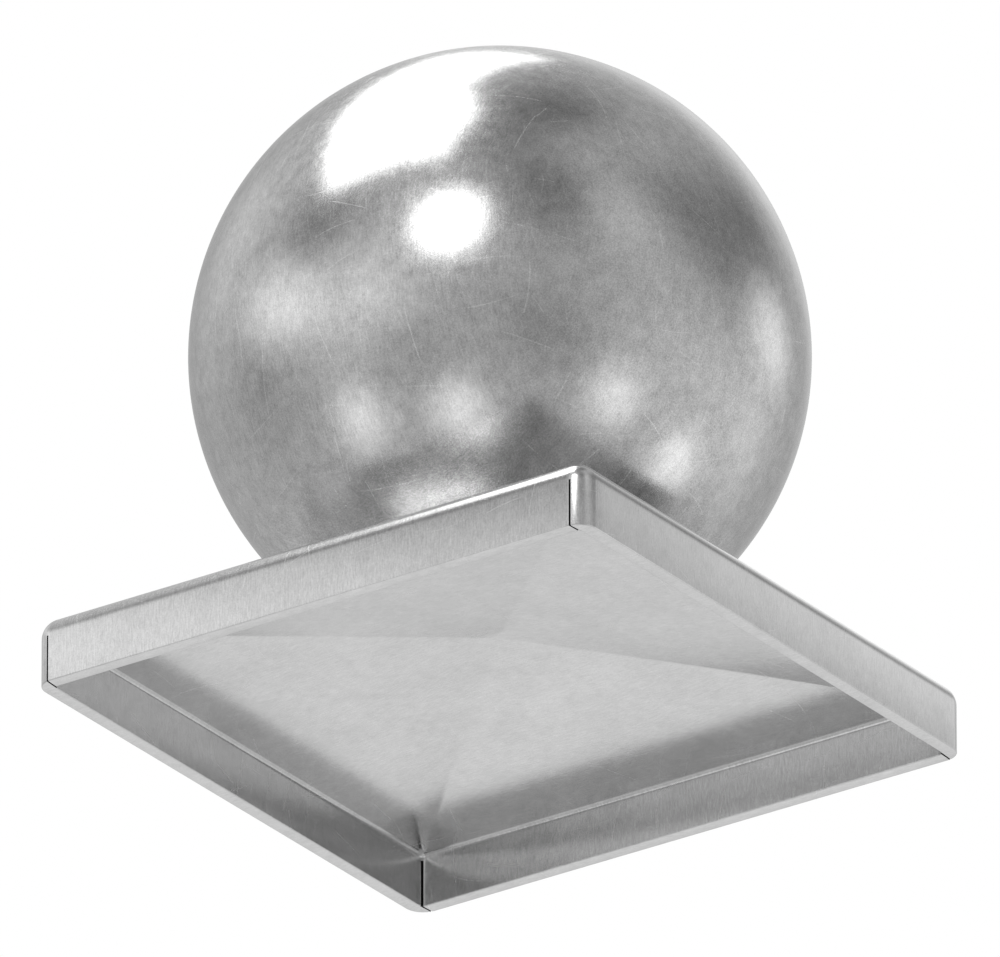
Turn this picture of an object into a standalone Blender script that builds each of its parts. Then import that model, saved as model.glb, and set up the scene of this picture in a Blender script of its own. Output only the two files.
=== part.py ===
"""A ball post cap of galvanised steel, which goes over the top end of a square post.

The cap is one sheet, folded: a shallow pyramid roof with a short skirt down each side. The two
skirts across X run the full width, the two across Y butt between them, and a thin slit is left
at each corner below the bends. The ball stands on the roof's peak. It is a sealed hollow ball,
modelled solid.

Lengths are in metres, +Z is up, and the origin is at the centre of the square, on the plane of
the skirts' lower rim.
"""

import math

import bmesh
import bpy

# The post, and the sheet that is folded over it
POST_SIDE = 0.0700
POST_PLAY = 0.0013
SHEET = 0.00175
SKIRT_DROP = 0.00583
INNER_BEND_RADIUS = 0.00065
ROOF_SLOPE = math.radians(6.0)

# The slits at the corners, which end a little below the bends
SLIT_WIDTH = 0.0003
SLIT_STOP = 0.0002

# The ball, and how far its round form reaches below the roof's peak
BALL_DIAMETER = 0.0700
BALL_SINK = 0.00192
SEAT_GAP = 0.0003

# How finely round forms are faceted
CORNER_STEPS = 6
BEND_STEPS = 6
BALL_SEGMENTS = 72
BALL_RINGS = 36

# Worked out from the sizes above
INNER_HALF = (POST_SIDE + POST_PLAY) / 2
OUTER_HALF = INNER_HALF + SHEET
OUTER_BEND_RADIUS = INNER_BEND_RADIUS + SHEET
BALL_RADIUS = BALL_DIAMETER / 2


def remove_all_objects():
    """Empties the scene."""
    for thing in list(bpy.data.objects):
        bpy.data.objects.remove(thing, do_unlink=True)


def metal(name, grey, roughness):
    """A plain metal with a colour, a roughness and no texture."""
    material = bpy.data.materials.new(name)
    material.use_nodes = True
    shader = material.node_tree.nodes["Principled BSDF"]
    shader.inputs["Base Color"].default_value = (grey, grey, grey, 1)
    shader.inputs["Roughness"].default_value = roughness
    shader.inputs["Metallic"].default_value = 1
    return material


def object_from(shape, name, material=None):
    """Turns a bmesh into an object with smooth round faces and sharp folds."""
    bmesh.ops.recalc_face_normals(shape, faces=shape.faces)
    mesh = bpy.data.meshes.new(name)
    shape.to_mesh(mesh)
    shape.free()
    mesh.shade_smooth()
    mesh.set_sharp_from_angle(angle=math.radians(30))
    if material:
        mesh.materials.append(material)
    thing = bpy.data.objects.new(name, mesh)
    bpy.context.collection.objects.link(thing)
    return thing


def cut(thing, cutter):
    """Takes the cutter's volume out of the thing, and keeps the cutter out of the picture."""
    cutter.hide_render = True
    cutter.display_type = "WIRE"
    boolean = thing.modifiers.new(cutter.name, "BOOLEAN")
    boolean.operation = "DIFFERENCE"
    boolean.solver = "EXACT"
    boolean.object = cutter


def roof_peak(half, radius):
    """Height of the peak of a folded surface, given the half side and bend radius of that face."""
    bend_height = SKIRT_DROP + radius * math.cos(ROOF_SLOPE)
    bend_inset = radius * (1 - math.sin(ROOF_SLOPE))
    return bend_height + (half - bend_inset) * math.tan(ROOF_SLOPE)


def square_ring(shape, half, corner_radius, height):
    """One level ring of vertices round a square with rounded corners."""
    centre = half - corner_radius
    ring = []
    for corner in range(4):
        for step in range(CORNER_STEPS + 1):
            turn = (corner + step / CORNER_STEPS) * math.pi / 2
            middle = (corner + 0.5) * math.pi / 2
            x = centre * math.sqrt(2) * math.cos(middle) + corner_radius * math.cos(turn)
            y = centre * math.sqrt(2) * math.sin(middle) + corner_radius * math.sin(turn)
            ring.append(shape.verts.new((x, y, height)))
    return ring


def bridge(shape, low, high):
    """Faces between two rings of the same number of vertices."""
    for i in range(len(low)):
        j = (i + 1) % len(low)
        shape.faces.new((low[i], low[j], high[j], high[i]))


def folded_face(shape, half, radius):
    """One side of the sheet, from the rim up the skirts, round the bends and up to the peak.

    The bend is an arc that starts upright and ends at the roof's slope. The upright corners have
    the bend's own radius, which runs out along the bend, so the roof's four hips are sharp.
    """
    rings = [square_ring(shape, half, radius, 0)]
    last = math.pi / 2 - ROOF_SLOPE
    for step in range(BEND_STEPS + 1):
        turn = last * step / BEND_STEPS
        left = (math.cos(turn) - math.cos(last)) / (1 - math.cos(last))
        inset = radius * (1 - math.cos(turn))
        height = SKIRT_DROP + radius * math.sin(turn)
        rings.append(square_ring(shape, half - inset, radius * left, height))
    for low, high in zip(rings, rings[1:]):
        bridge(shape, low, high)
    peak = shape.verts.new((0, 0, roof_peak(half, radius)))
    for i, vertex in enumerate(rings[-1]):
        shape.faces.new((vertex, rings[-1][(i + 1) % len(rings[-1])], peak))
    return rings[0]


def corner_slits():
    """Four thin upright blocks, each just inside the plane of a full-width skirt's inner face."""
    shape = bmesh.new()
    inner_end = INNER_HALF - INNER_BEND_RADIUS / 2
    outer_end = OUTER_HALF + SHEET
    top = SKIRT_DROP - SLIT_STOP
    for side_x in (-1, 1):
        for side_y in (-1, 1):
            block = bmesh.ops.create_cube(shape, size=1)["verts"]
            bmesh.ops.scale(shape, vec=(SLIT_WIDTH, outer_end - inner_end, 2 * top), verts=block)
            middle_x = side_x * (INNER_HALF - SLIT_WIDTH / 2)
            middle_y = side_y * (inner_end + outer_end) / 2
            bmesh.ops.translate(shape, vec=(middle_x, middle_y, 0), verts=block)
    return object_from(shape, "corner_slits")


def make_cap(material):
    """The folded sheet: its outer face and its inner face, joined round the rim, less the slits."""
    shape = bmesh.new()
    outer_rim = folded_face(shape, OUTER_HALF, OUTER_BEND_RADIUS)
    inner_rim = folded_face(shape, INNER_HALF, INNER_BEND_RADIUS)
    bridge(shape, outer_rim, inner_rim)
    bmesh.ops.remove_doubles(shape, verts=shape.verts, dist=1e-6)
    cap = object_from(shape, "cap", material)
    cut(cap, corner_slits())
    return cap


def ball_seat():
    """A block with the roof's shape on top, held off it by the seat gap."""
    shape = bmesh.new()
    top = roof_peak(OUTER_HALF, OUTER_BEND_RADIUS) + SEAT_GAP / math.cos(ROOF_SLOPE)
    foot = top - BALL_DIAMETER * math.tan(ROOF_SLOPE)
    peak = shape.verts.new((0, 0, top))
    base = shape.verts.new((0, 0, foot - BALL_DIAMETER))
    corners = []
    for x, y in ((1, 1), (-1, 1), (-1, -1), (1, -1)):
        corners.append(shape.verts.new((x * BALL_DIAMETER, y * BALL_DIAMETER, foot)))
    for i in range(4):
        shape.faces.new((corners[i], corners[(i + 1) % 4], peak))
        shape.faces.new((corners[(i + 1) % 4], corners[i], base))
    return object_from(shape, "ball_seat")


def make_ball(material):
    """The ball, flattened below to sit on the roof's peak."""
    shape = bmesh.new()
    bmesh.ops.create_uvsphere(
        shape, u_segments=BALL_SEGMENTS, v_segments=BALL_RINGS, radius=BALL_RADIUS
    )
    centre = roof_peak(OUTER_HALF, OUTER_BEND_RADIUS) - BALL_SINK + BALL_RADIUS
    bmesh.ops.translate(shape, vec=(0, 0, centre), verts=shape.verts)
    ball = object_from(shape, "ball", material)
    cut(ball, ball_seat())
    return ball


remove_all_objects()
make_cap(metal("galvanised sheet", 0.58, 0.34))
make_ball(metal("galvanised ball", 0.62, 0.22))
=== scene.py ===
"""The looks of a ball post cap of galvanised steel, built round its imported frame.

A shallow pyramid roof with four short skirts, folded from one sheet, carries a hollow ball on its
peak. The camera looks up at it from below, so the sheet's underside shows as well as the ball.
Lengths are in metres, +Z is up, and the rim of the skirts is at height 0.
"""

import math

import bpy
import numpy as np
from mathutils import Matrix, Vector


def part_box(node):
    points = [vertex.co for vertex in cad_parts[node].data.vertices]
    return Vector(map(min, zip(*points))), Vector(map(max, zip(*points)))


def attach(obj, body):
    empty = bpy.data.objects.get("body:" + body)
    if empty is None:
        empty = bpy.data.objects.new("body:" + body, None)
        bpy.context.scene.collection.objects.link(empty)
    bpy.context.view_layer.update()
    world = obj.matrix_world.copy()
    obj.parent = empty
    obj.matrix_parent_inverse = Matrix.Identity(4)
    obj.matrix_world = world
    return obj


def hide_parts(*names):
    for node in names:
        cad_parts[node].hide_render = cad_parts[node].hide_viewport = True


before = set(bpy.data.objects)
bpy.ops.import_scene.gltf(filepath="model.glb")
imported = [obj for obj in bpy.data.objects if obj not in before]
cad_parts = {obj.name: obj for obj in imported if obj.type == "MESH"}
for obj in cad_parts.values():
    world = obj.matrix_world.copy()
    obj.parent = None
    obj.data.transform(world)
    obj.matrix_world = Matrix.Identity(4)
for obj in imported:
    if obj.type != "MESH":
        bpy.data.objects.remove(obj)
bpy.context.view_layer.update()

# The cap: one galvanised sheet, sheared to a cross and folded down on four sides, with its roof
# pressed up to a low pyramid. The skirts across X run the full width. The skirts across Y butt
# between them, and a thin slit is left at each corner, up to just below the bends.

cap_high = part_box("cap")[1]
outer_half = cap_high.x
peak_height = cap_high.z
sheet = 0.00175
inner_half = outer_half - sheet
outer_bend = 0.0024
inner_bend = outer_bend - sheet
skirt_drop = 0.00583
roof_slope = math.radians(6.0)
edge_round = 0.00012
hip_round = 0.0003
peak_half = 0.002

# The slit ends below the bend. Its far side is inset from the full-width skirt's inner face.
slit_width = 0.00022
slit_inset = 0.00008
slit_stop = 0.0002
slit_top = skirt_drop - slit_stop

# How finely the sheet is divided. The columns are fine round a corner and just past it.
flat_columns = 24
columns_before_slit = 4
columns_after_slit = 14
past_corner = 0.0012
edge_rows = 5
bend_rows = 17
roof_rows = 24


def ring_columns(half, radius, turns, past):
    """Plan points once round a square with rounded corners, as an array of x, y rows.

    A quarter runs from the middle of the -Y side, along that side, round the corner by the given
    turns, past the corner by the given distances, and on to the middle of the +X side. The other
    three quarters are this one mirrored, so the loop is closed and its columns match in each.
    """
    centre = half - radius
    share = np.arange(flat_columns) / flat_columns
    first = np.stack([centre * share, np.full(flat_columns, -half)], 1)
    corner = np.stack([centre + radius * np.sin(turns), -centre - radius * np.cos(turns)], 1)
    beyond = np.stack([np.full(len(past), half), past - centre], 1)
    start = centre - past.max(initial=0)
    still_to_go = 1 - share - 1 / flat_columns
    rest = np.stack([np.full(flat_columns, half), -start * still_to_go], 1)
    quarter = np.concatenate([first, corner, beyond, rest])
    mirrored_y = (quarter * (1, -1))[::-1]
    mirrored_x = (quarter * (-1, 1))[::-1]
    return np.concatenate([quarter[:-1], mirrored_y[:-1], -quarter[:-1], mirrored_x[:-1]])


def folded_surface(half, bend, edge, turns, past):
    """One face of the sheet from rim to peak, as rows of points, and the row of the slits' top.

    From the rim a quarter round of the edge's radius leads onto the upright skirt. Above the
    skirt an arc of the bend's radius turns inwards until it has the roof's slope, and the roof
    runs straight up to the peak. The corners' radius runs out to the hips' small round.
    """
    levels = []
    for turn in np.linspace(0, math.pi / 2, edge_rows):
        inset = edge * (1 - math.sin(turn))
        levels.append((inset, bend - inset, abs(edge) * (1 - math.cos(turn))))
    levels.append((0, bend, slit_top))
    slit_row = len(levels) - 1
    last = math.pi / 2 - roof_slope
    for turn in np.linspace(0, last, bend_rows):
        left = (math.cos(turn) - math.cos(last)) / (1 - math.cos(last))
        radius = hip_round + (bend - hip_round) * left
        levels.append((bend * (1 - math.cos(turn)), radius, skirt_drop + bend * math.sin(turn)))
    foot_inset, _, foot_height = levels[-1]
    foot = half - foot_inset
    for reach in np.linspace(0, 1, roof_rows + 1)[1:]:
        inward = (foot - peak_half) * reach
        height = foot_height + inward * math.tan(roof_slope)
        levels.append((foot_inset + inward, hip_round, height))
    rows = []
    for inset, radius, height in levels:
        plan = ring_columns(half - inset, radius, turns, past)
        rows.append(np.column_stack([plan, np.full(len(plan), height)]))
    return np.array(rows), slit_row


def slit_turns(bend):
    """How far round a corner of the bend's radius the slit's near and far sides cross its arc."""
    far = inner_half - slit_inset - (outer_half - outer_bend)
    return np.arcsin(np.array([far - slit_width, far]) / bend)


def quads_between(low, high):
    """Quads that join two closed rings of vertex numbers, column by column."""
    return np.stack([low, np.roll(low, -1), np.roll(high, -1), high], 1)


def fan(ring, tip):
    """Triangles that join a closed ring of vertex numbers to one vertex."""
    return np.stack([ring, np.roll(ring, -1), np.full(len(ring), tip)], 1).tolist()


def slit_wall(edge, opposite_edge):
    """Quads that join two upright lines of vertex numbers, each from the rim to the slit's top."""
    corners = [edge[:-1], edge[1:], opposite_edge[1:], opposite_edge[:-1]]
    return np.stack(corners, 1).tolist()


def add_piece(name, points, faces):
    """A mesh object at the origin, smooth but for edges that turn by more than 30 degrees."""
    mesh = bpy.data.meshes.new(name)
    mesh.from_pydata(points.tolist(), [], faces)
    mesh.validate()
    mesh.shade_smooth()
    mesh.set_sharp_from_angle(angle=math.radians(30))
    piece = bpy.data.objects.new(name, mesh)
    bpy.context.scene.collection.objects.link(piece)
    return piece


def cap_piece():
    """The folded sheet as one closed shell: outer face, inner face, rim, and the slits' walls.

    Both faces have the same rows and columns, so they are joined number by number. The slits'
    walls come last, and the face attribute read by the finish is 1 on them and 0 on the rest:
    it paints shade on the walls, dark as inside the narrow slits.
    """
    near, far = slit_turns(outer_bend)
    before = np.linspace(0, near, columns_before_slit)
    after = np.linspace(far, math.pi / 2, columns_after_slit)
    outer_turns = np.concatenate([before, after])
    near, far = slit_turns(inner_bend)
    inner_turns = np.append(np.linspace(0, near, columns_before_slit), far)
    past = np.linspace(0, past_corner, columns_after_slit)[1:]
    outer, slit_row = folded_surface(outer_half, outer_bend, edge_round, outer_turns, np.zeros(0))
    inner, _ = folded_surface(inner_half, inner_bend, -edge_round, inner_turns, past)

    rows, columns = outer.shape[:2]
    outer_index = np.arange(rows * columns).reshape(rows, columns)
    inner_index = outer_index + rows * columns
    opposite = columns // 2
    first = flat_columns + columns_before_slit - 1
    slits = [first, opposite - first - 1, opposite + first, columns - first - 1]
    every = np.ones(columns, bool)
    closed = every.copy()
    closed[slits] = False
    faces = []
    for row in range(rows - 1):
        kept = closed if row < slit_row else every
        faces.append(quads_between(outer_index[row], outer_index[row + 1])[kept])
        faces.append(quads_between(inner_index[row + 1], inner_index[row])[kept])
    faces.append(quads_between(inner_index[0], outer_index[0])[closed])
    faces.append(quads_between(outer_index[slit_row], inner_index[slit_row])[slits][:, ::-1])
    faces = np.concatenate(faces).tolist()

    rise = (peak_half - hip_round / 2) * math.tan(roof_slope)
    peaks = [(0, 0, outer[-1, 0, 2] + rise), (0, 0, inner[-1, 0, 2] + rise)]
    outer_peak = 2 * rows * columns
    faces.extend(fan(outer_index[-1], outer_peak))
    faces.extend(fan(inner_index[-1][::-1], outer_peak + 1))

    sheet_faces = len(faces)
    upright = slice(0, slit_row + 1)
    for slit in slits:
        faces.extend(slit_wall(inner_index[upright, slit], outer_index[upright, slit]))
        faces.extend(slit_wall(outer_index[upright, slit + 1], inner_index[upright, slit + 1]))
    points = np.concatenate([outer.reshape(-1, 3), inner.reshape(-1, 3), peaks])
    piece = add_piece("folded_cap", points, faces)
    # The attribute paints shade on the slits' walls: the finish darkens them as the narrow gap's
    # shade would.
    slit_shade = piece.data.attributes.new("slit_shade", "FLOAT", "FACE")
    for face in range(sheet_faces, len(faces)):
        slit_shade.data[face].value = 1
    return piece


class Value:
    """A number or a vector that varies over a surface. Each operator on it adds one node."""

    def __init__(self, finish, socket):
        self.finish = finish
        self.socket = socket

    def math(self, operation, *others):
        """One Math node, with this value as its first number."""
        inputs = dict(enumerate((self, *others)))
        return self.finish.node("ShaderNodeMath", {"operation": operation}, inputs)

    def vector(self, operation, other=None, output="Vector"):
        """One Vector Math node, with this value as its first vector."""
        inputs = {0: self}
        if other is not None:
            inputs["Scale" if operation == "SCALE" else 1] = other
        return self.finish.node("ShaderNodeVectorMath", {"operation": operation}, inputs, output)

    def output(self, name):
        """Another output of the node that this value comes from."""
        return Value(self.finish, self.socket.node.outputs[name])

    def parts(self):
        """The three parts of a vector, each as a value of its own."""
        split = self.finish.node("ShaderNodeSeparateXYZ", inputs={0: self})
        return [split.output(axis) for axis in range(3)]

    def ramp(self, start, stop):
        """Rises smoothly from 0 where this value is at start to 1 where it is at stop."""
        settings = {"interpolation_type": "SMOOTHSTEP"}
        inputs = {"Value": self, "From Min": start, "From Max": stop}
        return self.finish.node("ShaderNodeMapRange", settings, inputs)

    def __add__(self, other):
        return self.math("ADD", other)

    __radd__ = __add__

    def __mul__(self, other):
        return self.math("MULTIPLY", other)

    __rmul__ = __mul__

    def __sub__(self, other):
        return self.math("SUBTRACT", other)

    def __rsub__(self, other):
        return self.finish.node("ShaderNodeMath", {"operation": "SUBTRACT"}, {0: other, 1: self})

    def __truediv__(self, other):
        return self.math("DIVIDE", other)


class Finish:
    """A node tree to write in."""

    def __init__(self, tree):
        self.tree = tree
        self.tree.nodes.clear()

    def node(self, kind, settings=None, inputs=None, output=0):
        """Adds any node, sets it up, links or fills its sockets, and returns one output of it."""
        made = self.tree.nodes.new(kind)
        for name, value in (settings or {}).items():
            setattr(made, name, value)
        for name, value in (inputs or {}).items():
            if isinstance(value, Value):
                self.tree.links.new(value.socket, made.inputs[name])
            else:
                made.inputs[name].default_value = value
        return Value(self, made.outputs[output]) if made.outputs else None

    def noise(self, place, scale, detail, roughness, dimensions="3D"):
        """Soft random patches, about one for each unit of length over the scale, from 0 to 1."""
        inputs = {"Vector": place, "Scale": scale, "Detail": detail, "Roughness": roughness}
        return self.node("ShaderNodeTexNoise", {"noise_dimensions": dimensions}, inputs)

    def flat(self, across, along):
        """A vector from two numbers, for textures that lie in one plane."""
        return self.node("ShaderNodeCombineXYZ", inputs={"X": across, "Y": along})


def new_finish(name):
    """A new material, and its node tree to write in."""
    material = bpy.data.materials.new(name)
    material.use_nodes = True
    return material, Finish(material.node_tree)


def scratches(finish, across, along, cell, width, lean, fewest):
    """Thin curved scratches, one in each random cell of the given size, some cells left empty.

    A scratch runs through its cell's middle, leans from the rubbing direction by up to the given
    angle, bends a little as a parabola, and fades out at both ends. Lengths are in millimetres.
    """
    place = finish.flat(across / cell, along / cell)
    settings = {"voronoi_dimensions": "2D"}
    inputs = {"Vector": place, "Scale": 1}
    middle = finish.node("ShaderNodeTexVoronoi", settings, inputs, "Position")
    turn_chance, bend_chance, use_chance = middle.output("Color").parts()
    x, y, _ = place.vector("SUBTRACT", middle).parts()
    turn = (turn_chance - 0.5) * (2 * lean)
    sine, cosine = turn.math("SINE"), turn.math("COSINE")
    along_it = x * sine + y * cosine
    bend = (bend_chance - 0.5) * along_it * along_it * 0.5
    beside_it = (x * cosine - y * sine - bend).math("ABSOLUTE")
    line = beside_it.ramp(width / cell, 0)
    ends = along_it.math("ABSOLUTE").ramp(0.6, 0.25)
    return line * ends * use_chance.ramp(fewest, 1)


def galvanised(
    name, *, grey, edge_grey, roughness, graininess, graininess_y, mottling, scratch_wear_and_glint, relief
):
    """Galvanised steel, rubbed along one way on each side, with grain, clouds and fine scratches.

    The rubbing runs upright on faces that look sideways and along X on level faces. Where a face
    looks between two of these ways, both show, each by the eighth power of how far it looks there.
    Patterns are laid out in millimetres, and each way has its own part of them. The edge's grey is
    the tint of a grazing reflection. The last values are shares of the grey by which the grain,
    the mottling and the scratches change it, with the grain's own share on faces that look along
    Y, and the depth of the relief in metres. The scratches lighten the grey: real worn zinc, and a
    painted glint where they would catch the light. The slits' walls, marked by their attribute,
    are darkened by painted shade, as in the narrow slits, and made rougher.
    """
    material, finish = new_finish(name)
    object_place = finish.node("ShaderNodeTexCoord", output="Object")
    place = object_place.vector("SCALE", 1000)
    x, y, z = place.parts()
    normal = object_place.output("Normal")
    powers = [part.math("ABSOLUTE").math("POWER", 8) for part in normal.parts()]
    whole = powers[0] + powers[1] + powers[2]
    looks_x, looks_y, looks_z = [power / whole for power in powers]

    streaks = []
    for look, across, along in ((looks_x, y, z), (looks_y, x + 40, z), (looks_z, y + 80, x)):
        drawn_out = finish.flat(across * 4.5, along * 0.7)
        streak = finish.noise(drawn_out, scale=1, detail=2, roughness=0.7, dimensions="2D")
        streaks.append(look * streak)
    rubbing = streaks[0] + streaks[1] + streaks[2]

    mostly = [look.math("GREATER_THAN", 0.5) for look in (looks_x, looks_y, looks_z)]
    across = mostly[0] * y + mostly[1] * (x + 90) + mostly[2] * (y + 190)
    along = mostly[0] * z + mostly[1] * z + mostly[2] * x
    fine = scratches(finish, across, along, cell=2.5, width=0.08, lean=0.4, fewest=0.2)
    long = scratches(finish, across + 7, along + 3, cell=8, width=0.12, lean=0.3, fewest=0)
    crossing = scratches(finish, along + 11, across + 5, cell=6, width=0.1, lean=0.5, fewest=0.2)
    scored = (fine * 0.6 + long + crossing).math("MINIMUM", 1)

    grain = finish.noise(place, scale=5.5, detail=2, roughness=0.8)
    mottle = finish.noise(place, scale=0.6, detail=3, roughness=0.65)
    clouds = finish.noise(place, scale=0.12, detail=2, roughness=0.5)
    # Painted shade: faces with this attribute, the slits' walls, are darkened by nine tenths, as
    # inside the narrow slits, and made rougher.
    slit_shade = finish.node("ShaderNodeAttribute", {"attribute_name": "slit_shade"}, output="Fac")
    shade = 1 + (rubbing - 0.5) * (looks_y * 0.2 + 0.25)
    shade = shade + (grain - 0.5) * (looks_y * (graininess_y - graininess) + graininess)
    shade = shade + (mottle - 0.5) * mottling + (clouds - 0.5) * 0.2
    # The scratches lighten the grey: partly real worn zinc, partly a painted glint where they
    # would catch the light.
    shade = shade * (1 + scored * scratch_wear_and_glint) * (1 - slit_shade * 0.9)
    shaded = shade * grey
    colour = finish.node(
        "ShaderNodeCombineColor", inputs={"Red": shaded, "Green": shaded, "Blue": shaded}
    )
    rough = roughness + (mottle - 0.5) * 0.06 + (grain - 0.5) * 0.1 + scored * 0.1 + slit_shade * 0.4
    height = grain + rubbing * 0.5 + mottle * 0.3
    bump = finish.node(
        "ShaderNodeBump", inputs={"Strength": 1, "Distance": relief, "Height": height}
    )
    shader = finish.node(
        "ShaderNodeBsdfPrincipled",
        inputs={
            "Base Color": colour,
            "Metallic": 1,
            "Roughness": rough,
            "Specular Tint": (edge_grey, edge_grey, edge_grey, 1),
            "Normal": bump,
        },
    )
    finish.node("ShaderNodeOutputMaterial", inputs={"Surface": shader})
    return material


galvanised_sheet = galvanised(
    "galvanised sheet",
    grey=0.63,
    edge_grey=1,
    roughness=0.2,
    graininess=0.36,
    graininess_y=0.5,
    mottling=0.22,
    scratch_wear_and_glint=0.1,
    relief=0.0000035,
)
cap = cap_piece()
cap.data.materials.append(galvanised_sheet)
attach(cap, "root")
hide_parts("cap")

# The ball: a hollow ball of galvanised steel, smooth and closed, which stands on the roof's peak.
# Its lowest part is flattened to the roof, out of sight from every side.

ball_low, ball_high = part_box("ball")
ball_radius = (ball_high.x - ball_low.x) / 2
ball_centre = ball_high.z - ball_radius
seat_gap = 0.00005
ball_rings = 144
ball_columns = 288


def ball_piece():
    """A sphere in rings from its top to its foot, whose points under the roof are raised to it."""
    falls = np.linspace(0, math.pi, ball_rings + 1)[1:-1]
    turns = np.arange(ball_columns) * 2 * math.pi / ball_columns
    fall, turn = np.meshgrid(falls, turns, indexing="ij")
    x = ball_radius * np.sin(fall) * np.cos(turn)
    y = ball_radius * np.sin(fall) * np.sin(turn)
    z = ball_centre + ball_radius * np.cos(fall)
    roof = peak_height - math.tan(roof_slope) * np.maximum(abs(x), abs(y)) + seat_gap
    z = np.maximum(z, np.where(fall > math.pi / 2, roof, z))
    rows, columns = fall.shape
    index = np.arange(rows * columns).reshape(rows, columns)
    quads = [quads_between(index[row + 1], index[row]) for row in range(rows - 1)]
    faces = np.concatenate(quads).tolist()
    top, foot = rows * columns, rows * columns + 1
    faces.extend(fan(index[0], top))
    faces.extend(fan(index[-1][::-1], foot))
    ends = [(0, 0, ball_centre + ball_radius), (0, 0, peak_height + seat_gap)]
    points = np.concatenate([np.stack([x, y, z], -1).reshape(-1, 3), ends])
    return add_piece("hollow_ball", points, faces)


galvanised_ball = galvanised(
    "galvanised ball",
    grey=0.57,
    edge_grey=0.8,
    roughness=0.2,
    graininess=1.2,
    graininess_y=0.85,
    mottling=0.6,
    scratch_wear_and_glint=0.2,
    relief=0.0000045,
)
ball = ball_piece()
ball.data.materials.append(galvanised_ball)
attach(ball, "root")
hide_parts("ball")

# The studio: a white surround with soft panels of light, and a pale floor that shows from above.
# The floor stands under the rim. From below it lets the camera see the underside.

room_light = 0.55
room_panels = (
    # azimuth, elevation, spread in degrees, strength
    (-92, 38, 13, 0.4),
    (-15, 3, 14, 0.45),
    (80, 33, 9, 0.25),
    (112, -6, 16, 0.2),
    (150, -4, 14, 0.35),
    (-160, 37, 10, 0.6),
    (75, 60, 8, 0.15),
    (125, 60, 9, 0.15),
    (-140, -36, 24, 0.37),
    # and dark flags
    (57, 38, 12, -0.36),
    (127, 30, 14, -0.27),
    (36, 62, 10, -0.2),
    (75, 74, 9, -0.25),
    (130, 76, 9, -0.25),
    (-38, 34, 9, -0.3),
    (155, 37, 8, -0.25),
    (50, -12, 11, -0.2),
    (-5, -16, 10, -0.2),
    (-68, -6, 12, -0.12),
    (-85, 49, 10, -0.12),
    (112, 48, 14, -0.12),
)
lamp_aim = Vector((0, 0, 0.03))


def direction(azimuth, elevation):
    """The unit vector from the object towards a place: azimuth 0 is -Y and 90 is +X."""
    a, e = math.radians(azimuth), math.radians(elevation)
    return (math.sin(a) * math.cos(e), -math.cos(a) * math.cos(e), math.sin(e))


def studio_surround():
    """The world: white to the camera, and to everything else a grey room with soft panels.

    A panel's light falls off as the exponential of its cosine less one, over its spread squared.
    """
    world = bpy.data.worlds.new("studio")
    world.use_nodes = True
    bpy.context.scene.world = world
    finish = Finish(world.node_tree)
    towards = finish.node("ShaderNodeTexCoord", output="Generated")
    light = room_light
    for azimuth, elevation, spread, strength in room_panels:
        cosine = towards.vector("DOT_PRODUCT", direction(azimuth, elevation), "Value")
        sharpness = 1 / math.radians(spread) ** 2
        panel = cosine.math("MULTIPLY_ADD", sharpness, -sharpness).math("EXPONENT")
        light = panel.math("MULTIPLY_ADD", strength, light)
    seen = finish.node("ShaderNodeLightPath", output="Is Camera Ray")
    shown = finish.node(
        "ShaderNodeBackground",
        inputs={"Color": (1, 1, 1, 1), "Strength": seen + (1 - seen) * light},
    )
    finish.node("ShaderNodeOutputWorld", inputs={"Surface": shown})


def faded(spot, full):
    """Light that is full near a lamp's middle and fades out towards its rim."""
    middle, rim = (0.5, 0.5, 0), 0.5
    from_middle = spot.vector("SUBTRACT", middle).vector("LENGTH", output="Value")
    return from_middle.ramp(rim, full)


def flagged(spot):
    """Even light, but for the lamp's far right corner, where a flag keeps it dark.

    The flag covers what is past both of two slanting lines across the lamp.
    """
    steep_slant, steep_reach = 0.4, 0.9
    flat_slant, flat_reach = 0.63, 0.93
    across, along, _ = spot.parts()
    past_steep = (across + along * steep_slant).math("GREATER_THAN", steep_reach)
    past_flat = (along + across * flat_slant).math("GREATER_THAN", flat_reach)
    return 1 - past_steep * past_flat


def lamp(name, place, width, depth, radiance, full=None):
    """A rectangle of light at a place, turned to the object.

    With a share given, the light is full within that share of its width from its middle, and has
    faded out at its rim. Without one it is even but for its flag.
    """
    light = bpy.data.lights.new(name, "AREA")
    light.shape = "RECTANGLE"
    light.size = width
    light.size_y = depth
    light.energy = 4 * width * depth * radiance
    light.use_nodes = True
    finish = Finish(light.node_tree)
    spot = finish.node("ShaderNodeNewGeometry", output="Parametric")
    strength = flagged(spot) if full is None else faded(spot, full)
    shown = finish.node("ShaderNodeEmission", inputs={"Strength": strength})
    finish.node("ShaderNodeOutputLight", inputs={"Surface": shown})
    piece = bpy.data.objects.new(name, light)
    piece.location = place
    piece.rotation_euler = (Vector(place) - lamp_aim).to_track_quat("Z", "Y").to_euler()
    piece.visible_camera = False
    bpy.context.scene.collection.objects.link(piece)
    return piece


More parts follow.
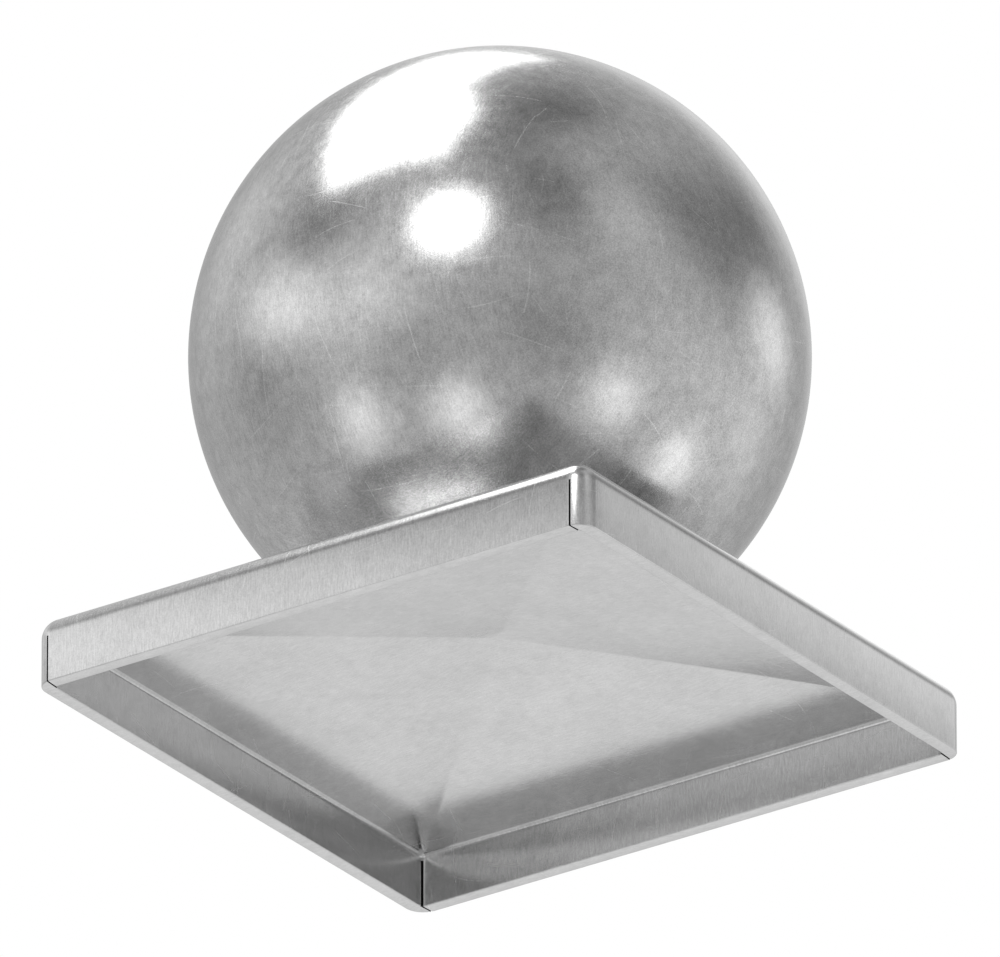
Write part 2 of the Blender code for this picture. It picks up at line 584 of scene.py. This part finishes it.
def lamps():
    """An overhead softbox, a round key lamp, two panels at the sides and four soft lamps below."""
    softbox = lamp("overhead softbox", (-0.0635, -0.013, 0.3266), 0.186, 0.394, radiance=2.0)
    softbox.rotation_euler = [math.radians(turn) for turn in (16.3, -14.4, -1.2)]
    lamp("key lamp", (0.139, -0.464, 0.273), 0.272, 0.272, radiance=2.7, full=0.3)
    small_middle = 0.05
    left = lamp("left panel", (-0.157, -0.158, 0.085), 0.26, 0.14, 0.54, small_middle)
    left.rotation_euler.rotate_axis("Z", math.radians(-20))
    lamp("right panel", (0.125, 0.180, 0.100), 0.18, 0.12, 0.5, small_middle)
    low_side = 0.13
    for name, place, radiance in (
        ("low left lamp", (-0.088, -0.171, -0.083), 0.55),
        ("low front lamp", (0.050, -0.167, -0.111), 0.65),
        ("low right lamp", (0.197, -0.024, -0.076), 0.65),
        ("low back lamp", (0.155, 0.103, -0.086), 0.75),
    ):
        lamp(name, place, low_side, low_side, radiance, small_middle)


def pale_floor():
    """A large level square just under the rim, plain and pale above and clear from below."""
    half, height = 6.0, -0.0003
    plan = [(-half, -half), (half, -half), (half, half), (-half, half)]
    mesh = bpy.data.meshes.new("floor")
    mesh.from_pydata([(x, y, height) for x, y in plan], [], [(0, 1, 2, 3)])
    floor = bpy.data.objects.new("floor", mesh)
    bpy.context.scene.collection.objects.link(floor)
    material, finish = new_finish("pale floor")
    pale = finish.node("ShaderNodeBsdfDiffuse", inputs={"Color": (0.8, 0.8, 0.8, 1)})
    clear = finish.node("ShaderNodeBsdfTransparent")
    under = finish.node("ShaderNodeNewGeometry", output="Backfacing")
    shown = finish.node("ShaderNodeMixShader", inputs={0: under, 1: pale, 2: clear})
    finish.node("ShaderNodeOutputMaterial", inputs={"Surface": shown})
    mesh.materials.append(material)
    floor.visible_diffuse = False
    floor.visible_glossy = False
    floor.visible_transmission = False
    floor.visible_shadow = False


studio_surround()
lamps()
pale_floor()

# The camera: far off with a very long lens, below the cap and turned 35 degrees round it.

view_azimuth = 34.92
view_elevation = -25.45
aim_height = 0.02995
camera_distance = 4.357

lens = bpy.data.cameras.new("camera")
lens.lens = 1400
lens.sensor_width = 36
lens.clip_start = 0.1
lens.clip_end = 20
camera = bpy.data.objects.new("camera", lens)
back = np.array(direction(view_azimuth, view_elevation))
camera.location = back * camera_distance + (0, 0, aim_height)
camera.rotation_euler = (math.radians(90 - view_elevation), 0, math.radians(view_azimuth))
bpy.context.scene.collection.objects.link(camera)
bpy.context.scene.camera = camera
bpy.context.scene.view_settings.view_transform = "Standard"
